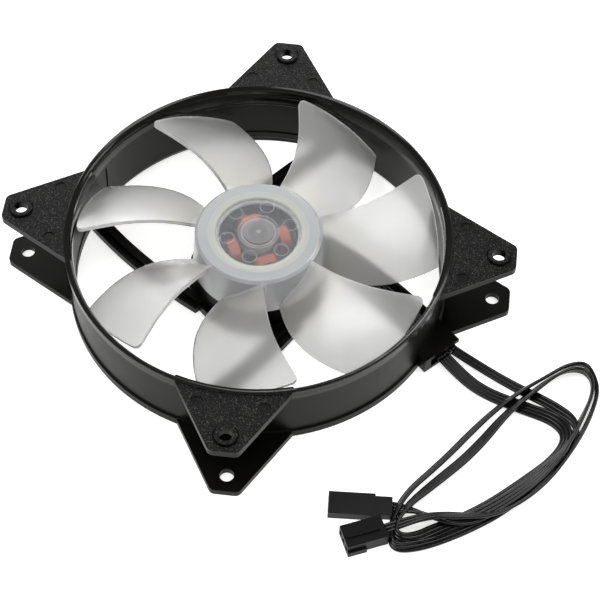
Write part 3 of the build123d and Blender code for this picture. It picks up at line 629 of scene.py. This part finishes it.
# Glass-epoxy board under green solder mask: darker tracks show through, with tinned pads in rows.
def boardLaminate():
    material, tree, place = startMaterial("fr4_green_mask")
    cellInputs = {"Vector": place, "Scale": 1 / board["cell"]}
    cells = addNode(tree, "ShaderNodeTexVoronoi", cellInputs, "Distance", distance="MANHATTAN", feature="F1")
    tracks = addNode(tree, "ShaderNodeMapRange", {"Value": cells, "From Min": 0.36, "From Max": 0.40})
    pads = addNode(tree, "ShaderNodeMapRange", {"Value": cells, "From Min": 0.12, "From Max": 0.09})
    maskInputs = {0: tracks, 6: linear(board["mask"]), 7: linear(board["maskOverTrack"])}
    mask = addNode(tree, "ShaderNodeMix", maskInputs, 2, data_type="RGBA")
    padInputs = {0: pads, 6: mask, 7: linear(board["tin"])}
    colour = addNode(tree, "ShaderNodeMix", padInputs, 2, data_type="RGBA")
    normal = addNode(tree, "ShaderNodeBump", {"Height": tracks, "Distance": 0.03 * mm, "Strength": 0.6})
    sockets = {"Base Color": colour, "Roughness": 0.28, "Metallic": pads, "Normal": normal}
    shader = addNode(tree, "ShaderNodeBsdfPrincipled", sockets)
    addNode(tree, "ShaderNodeOutputMaterial", {"Surface": shader})
    return material


core = {
    "sheet": 0.5,  # mm; thickness of one lamination
    "steel": "#8b8e92",
    "gap": "#2c2d2f",
}


# Silicon-steel laminations, punched and stacked: fine dark lines every half millimetre of height.
def coreSteel():
    material, tree, place = startMaterial("silicon_steel_stack")
    height = addNode(tree, "ShaderNodeSeparateXYZ", {0: place}, "Z")
    layers = addNode(tree, "ShaderNodeMath", {0: height, 1: 1 / core["sheet"]}, operation="MULTIPLY")
    layer = addNode(tree, "ShaderNodeMath", {0: layers}, operation="FRACT")
    joint = addNode(tree, "ShaderNodeMapRange", {"Value": layer, "From Min": 0.14, "From Max": 0.02})
    jointInputs = {0: joint, 6: linear(core["steel"]), 7: linear(core["gap"])}
    colour = addNode(tree, "ShaderNodeMix", jointInputs, 2, data_type="RGBA")
    normal = addNode(tree, "ShaderNodeBump", {"Height": layer, "Distance": 0.05 * mm, "Strength": 0.4})
    sockets = {"Base Color": colour, "Metallic": 1.0, "Roughness": 0.42, "Normal": normal}
    shader = addNode(tree, "ShaderNodeBsdfPrincipled", sockets)
    addNode(tree, "ShaderNodeOutputMaterial", {"Surface": shader})
    return material


label = {
    "film": "#2b2c31",
    "filmDark": "#232428",
    "print": "#a9abad",
    "ringLines": (6.5, 16.9),  # printed circles
    "lineHalfWidth": 0.18,
    "mottle": 0.8,  # mm
}


# Polyester film, screen printed: dark satin with two thin pale circles and no words.
def labelFilm():
    material, tree, place = startMaterial("polyester_label")
    radius, _ = fromShaft(tree, place)
    inner, outer = [
        addNode(tree, "ShaderNodeMath", {0: radius, 1: at, 2: label["lineHalfWidth"]}, operation="COMPARE")
        for at in label["ringLines"]
    ]
    printed = addNode(tree, "ShaderNodeMath", {0: inner, 1: outer}, operation="MAXIMUM")
    speckInputs = {"Vector": place, "Scale": 1 / label["mottle"], "Detail": 3.0}
    speck = addNode(tree, "ShaderNodeTexNoise", speckInputs)
    filmInputs = {0: speck, 6: linear(label["filmDark"]), 7: linear(label["film"])}
    film = addNode(tree, "ShaderNodeMix", filmInputs, 2, data_type="RGBA")
    printInputs = {0: printed, 6: film, 7: linear(label["print"])}
    colour = addNode(tree, "ShaderNodeMix", printInputs, 2, data_type="RGBA")
    sockets = {"Base Color": colour, "Roughness": 0.3, "Coat Weight": 0.4, "Coat Roughness": 0.12}
    shader = addNode(tree, "ShaderNodeBsdfPrincipled", sockets)
    addNode(tree, "ShaderNodeOutputMaterial", {"Surface": shader})
    return material


finishes = {
    "frame_plastic": framePlastic(),
    "milky_plastic": milkyPlastic(),
    # Deep-drawn steel, zinc plated: a soft bright grey with faint drawing lines.
    "yoke_steel": metal("zinc_plated_drawn_steel", "#fbfdf5", "#eceee6", 0.50, 1.1, (1, 1, 6), 0.02, 0.2),
    # Bonded ferrite, pressed: charcoal with a fine mineral grain.
    "ferrite_rubber": mottled("bonded_ferrite", "#35373b", "#26272b", 0.55, 0.4, 0.04),
    # Ground and polished shaft steel: a narrow bright highlight.
    "shaft_steel": metal("ground_shaft_steel", "#d8d9da", "#bcbdbf", 0.16, 0.7, (1, 1, 8), 0.01),
    # Turned brass: warm yellow with fine turning rings.
    "bush_brass": metal("turned_brass", "#d9bd7c", "#b39458", 0.28, 0.7, (1, 1, 6), 0.02),
    # Natural nylon: waxy off-white.
    "white_nylon": mottled("natural_nylon", "#e2e0d4", "#d2d0c3", 0.42, 0.8, 0.02, Subsurface_Weight=0.2),
    # Sintered bronze, oil filled: dull brown with open pores.
    "sintered_bronze": metal("sintered_bronze", "#9a7648", "#6d5130", 0.48, 0.3, (1, 1, 1), 0.05),
    # Wool felt, oiled: dark matted fibres.
    "oil_felt": mottled("oiled_felt", "#6b6148", "#453e2d", 0.85, 0.33, 0.12),
    "core_steel": coreSteel(),
    # Glass-filled black nylon: dull black with a light mottle.
    "insulator_nylon": mottled("glass_filled_nylon", "#2a2a2d", "#1d1d20", 0.48, 0.6, 0.03),
    "board_laminate": boardLaminate(),
    # Moulded epoxy: dark grey and finely matte.
    "chip_epoxy": mottled("moulded_epoxy", "#303033", "#232326", 0.5, 0.33, 0.02),
    # Fired ceramic: tan, with slightly uneven ends.
    "board_parts": mottled("fired_ceramic", "#a58e6c", "#7d6a4e", 0.35, 0.6, 0.02),
    # Clear epoxy resin: glassy, a little cloudy inside.
    "led_resin": mottled(
        "clear_epoxy_resin", "#f2f4f6", "#dfe3e6", 0.08, 1.2, 0.01, Transmission_Weight=0.9, IOR=1.5
    ),
    # Tinned copper wire: pale silver.
    "tinned_pin": metal("tinned_copper_wire", "#dcdad2", "#b5b3aa", 0.3, 0.5, (1, 1, 1), 0.02),
    "label_film": labelFilm(),
    # Extruded PVC insulation: black, glossy along each wire, with slight unevenness from the die.
    "wire_pvc": mottled("extruded_pvc", "#0f0e0e", "#080707", 0.22, 2.0, 0.008, IOR=1.45),
    # Black nylon 66, moulded: near black, with satin flats.
    "plug_nylon_black": mottled("black_nylon_moulded", "#0a0a0b", "#050506", 0.42, 0.7, 0.03, IOR=1.28),
    # Charcoal nylon, moulded in an etched tool: dark grey and finely matte.
    "plug_nylon_grey": mottled("charcoal_nylon_moulded", "#171617", "#101010", 0.46, 0.45, 0.05, IOR=1.34),
    # Tin-plated phosphor bronze: soft silver.
    "contact_tin": metal("tin_plated_bronze", "#e4e2db", "#bdbbb3", 0.28, 0.55, (1, 1, 1), 0.02),
    # Enamelled copper wire: warm orange-red under a glossy film.
    "copper_wire": metal("enamelled_copper", "#ffa07c", "#fa8058", 0.36, 0.9, (1, 1, 1), 0.02, 0.2),
}
slotOf = {part["node"]: part["material_slot"] for part in frame["record"]["subparts"]}
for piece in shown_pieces():
    material = finishes[piece.get("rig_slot") or slotOf[piece.name]]
    piece.data.materials.clear()
    piece.data.materials.append(material)
print("materials made:", len(finishes))

studio = {
    "floorSize": 6.0,
    "floorDrop": 0.05 * mm,  # keeps the floor just under the frame
    "floorColour": "#f3f3f2",
    "floorGlow": 0.80,
    "skyStrength": 0.27,
    "lights": [
        # name, place, aimed at, size, power
        ("overFront", (-0.16, -0.30, 0.88), (0, 0, 0), 0.50, 3.3),
        ("overBack", (0.30, 0.36, 0.84), (0, 0, 0), 0.45, 2.5),
        ("farLeft", (-0.70, 0.35, 0.40), (0, 0, 0), 0.50, 4.0),
        ("farRight", (0.45, 0.75, 0.35), (0, 0, 0), 0.40, 1.6),
    ],
}


# A plain pale floor that glows a little, so it stays white in soft light.
def makeFloor():
    half, low = studio["floorSize"] / 2, -studio["floorDrop"]
    mesh = bpy.data.meshes.new("floor")
    corners = [(-half, -half, low), (half, -half, low), (half, half, low), (-half, half, low)]
    mesh.from_pydata(corners, [], [(0, 1, 2, 3)])
    floor = bpy.data.objects.new("floor", mesh)
    bpy.context.scene.collection.objects.link(floor)
    material, tree, _ = startMaterial("matt_paper")
    paper = linear(studio["floorColour"])
    sockets = {
        "Base Color": paper,
        "Roughness": 0.9,
        "Emission Color": paper,
        "Emission Strength": studio["floorGlow"],
    }
    shader = addNode(tree, "ShaderNodeBsdfPrincipled", sockets)
    addNode(tree, "ShaderNodeOutputMaterial", {"Surface": shader})
    mesh.materials.append(material)


# Soft square lights over and behind the fan, with a white sky.
def makeLights():
    for name, place, target, size, power in studio["lights"]:
        data = bpy.data.lights.new(name, "AREA")
        data.shape = "SQUARE"
        data.size = size
        data.energy = power
        light = bpy.data.objects.new(name, data)
        light.location = place
        light.rotation_euler = (Vector(target) - Vector(place)).to_track_quat("-Z", "Y").to_euler()
        bpy.context.scene.collection.objects.link(light)
    world = bpy.data.worlds.new("studio")
    world.use_nodes = True
    background = world.node_tree.nodes["Background"]
    background.inputs["Color"].default_value = (1, 1, 1, 1)
    background.inputs["Strength"].default_value = studio["skyStrength"]
    bpy.context.scene.world = world
    bpy.context.scene.view_settings.view_transform = "Standard"


makeFloor()
makeLights()
print("floor and lights made")
